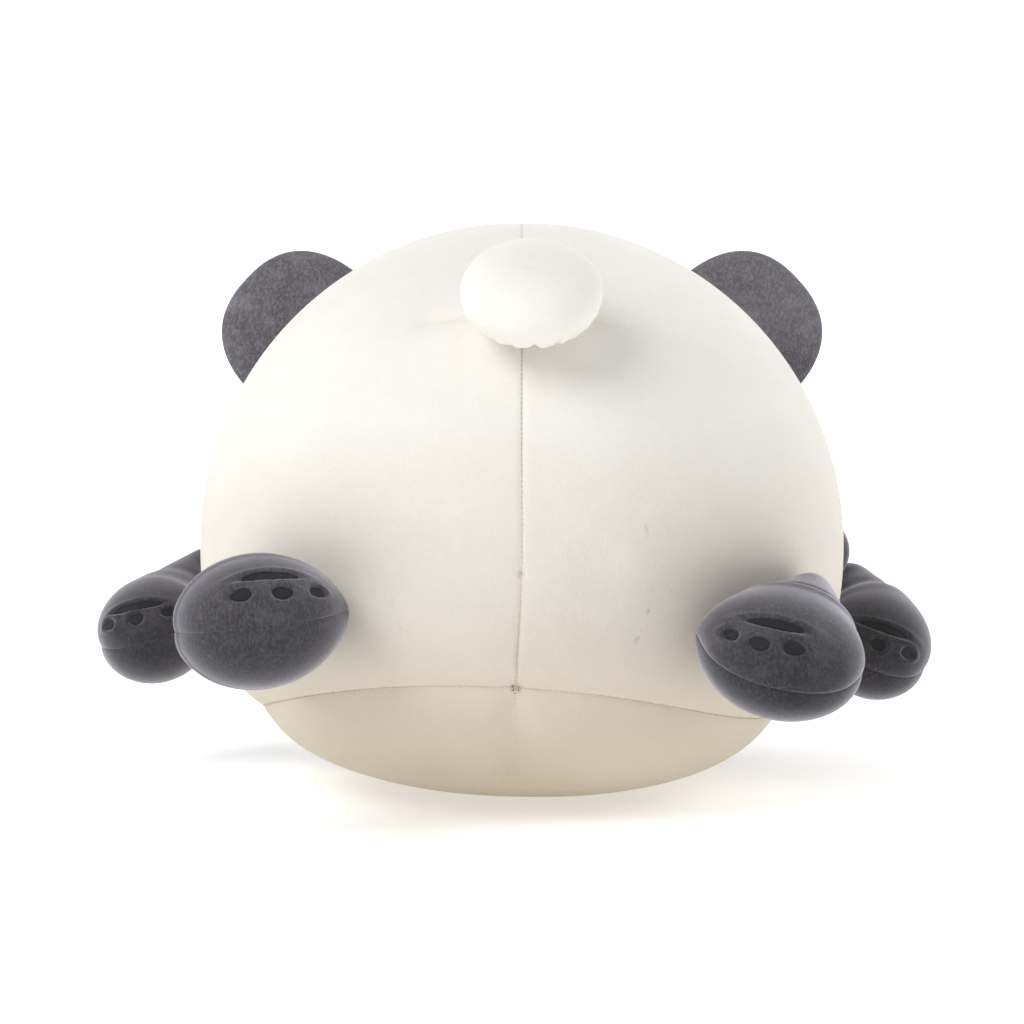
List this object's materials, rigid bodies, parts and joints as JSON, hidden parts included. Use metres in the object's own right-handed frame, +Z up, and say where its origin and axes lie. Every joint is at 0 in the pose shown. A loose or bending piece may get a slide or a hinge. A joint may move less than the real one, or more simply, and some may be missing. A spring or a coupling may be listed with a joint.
{
  "type": "plush panda",
  "caption": "Stuffed panda lying on its belly: round padded body and head of soft pile cloth, sewn limbs with paw pads, padded ears and a gathered ball tail.",
  "frame": {"origin": "middle of the flat patch of the belly that rests on the floor", "axes": "+Z up from the rest surface; +Y from the head to the tail, so the face looks along -Y; +X to the toy's own left"},
  "size_m": [0.4079, 0.4883, 0.2639],
  "materials": {
    "cream_pile": "short napped pile, satin sheen",
    "charcoal_pile": "short napped pile, satin sheen",
    "pad_embroidery": "dense satin stitch",
    "fibre_filling": "loose polyester fibre",
    "thread": "sewing thread",
    "eye_plastic": "polished",
    "washer_plastic": "moulded"
  },
  "bodies": {
    "torso": {"back_panel_left": "cream_pile", "back_panel_right": "cream_pile", "belly_panel": "cream_pile", "shoulder_band": "charcoal_pile", "chest_panel": "charcoal_pile", "crown_left": "cream_pile", "crown_right": "cream_pile", "face_panel": "cream_pile", "chin_panel": "cream_pile", "muzzle": "cream_pile", "body_stuffing": "fibre_filling", "head_stuffing": "fibre_filling", "eye_patch_left": "charcoal_pile", "eye_patch_right": "charcoal_pile", "eye_left": "eye_plastic", "eye_right": "eye_plastic", "eye_washer_left": "washer_plastic", "eye_washer_right": "washer_plastic", "nose": "pad_embroidery", "mouth": "pad_embroidery"},
    "arm_left": {"arm_left_sole_panel": "charcoal_pile", "arm_left_top_panel": "charcoal_pile", "arm_left_stuffing": "fibre_filling", "arm_left_palm_pad": "pad_embroidery", "arm_left_toe_pads": "pad_embroidery"},
    "arm_right": {"arm_right_sole_panel": "charcoal_pile", "arm_right_top_panel": "charcoal_pile", "arm_right_stuffing": "fibre_filling", "arm_right_palm_pad": "pad_embroidery", "arm_right_toe_pads": "pad_embroidery"},
    "leg_left": {"leg_left_sole_panel": "charcoal_pile", "leg_left_top_panel": "charcoal_pile", "leg_left_stuffing": "fibre_filling", "leg_left_heel_pad": "pad_embroidery", "leg_left_toe_pads": "pad_embroidery"},
    "leg_right": {"leg_right_sole_panel": "charcoal_pile", "leg_right_top_panel": "charcoal_pile", "leg_right_stuffing": "fibre_filling", "leg_right_heel_pad": "pad_embroidery", "leg_right_toe_pads": "pad_embroidery"},
    "ear_left": {"ear_back_left": "charcoal_pile", "ear_front_left": "charcoal_pile", "ear_padding_left": "fibre_filling"},
    "ear_right": {"ear_back_right": "charcoal_pile", "ear_front_right": "charcoal_pile", "ear_padding_right": "fibre_filling"},
    "tail": {"tail_cover": "cream_pile", "tail_stuffing": "fibre_filling", "tail_gather_thread": "thread"}
  },
  "joints": [
    {"name": "arm_left_swing", "type": "hinge", "parent": "torso", "child": "arm_left", "pos_m": [0.13849, -0.07286, 0.0977], "axis": [-0.327, -0.945, 0], "range_deg": [-5, 30], "stiffness_Nm_per_rad": 0.12},
    {"name": "arm_right_swing", "type": "hinge", "parent": "torso", "child": "arm_right", "pos_m": [-0.13661, -0.07671, 0.09334], "axis": [-0.3475, 0.9377, 0], "range_deg": [-5, 30], "stiffness_Nm_per_rad": 0.12},
    {"name": "leg_left_swing", "type": "hinge", "parent": "torso", "child": "leg_left", "pos_m": [0.11403, 0.13247, 0.09654], "axis": [0.644, -0.765, 0], "range_deg": [-15, 30], "stiffness_Nm_per_rad": 0.12},
    {"name": "leg_right_swing", "type": "hinge", "parent": "torso", "child": "leg_right", "pos_m": [-0.11635, 0.13037, 0.10293], "axis": [0.627, 0.779, 0], "range_deg": [-15, 30], "stiffness_Nm_per_rad": 0.12},
    {"name": "ear_left_fold", "type": "hinge", "parent": "torso", "child": "ear_left", "pos_m": [0.1029, -0.12, 0.2034], "axis": [0.6655, 0.1045, -0.7391], "range_deg": [-18, 18], "stiffness_Nm_per_rad": 0.05},
    {"name": "ear_right_fold", "type": "hinge", "parent": "torso", "child": "ear_right", "pos_m": [-0.1029, -0.12, 0.2034], "axis": [-0.6655, 0.1045, -0.7391], "range_deg": [-18, 18], "stiffness_Nm_per_rad": 0.05},
    {"name": "tail_wag", "type": "hinge", "parent": "torso", "child": "tail", "pos_m": [-0.0039, 0.1447, 0.2156], "axis": [0, 0.677, -0.736], "range_deg": [-10, 10], "stiffness_Nm_per_rad": 0.06}
  ]
}
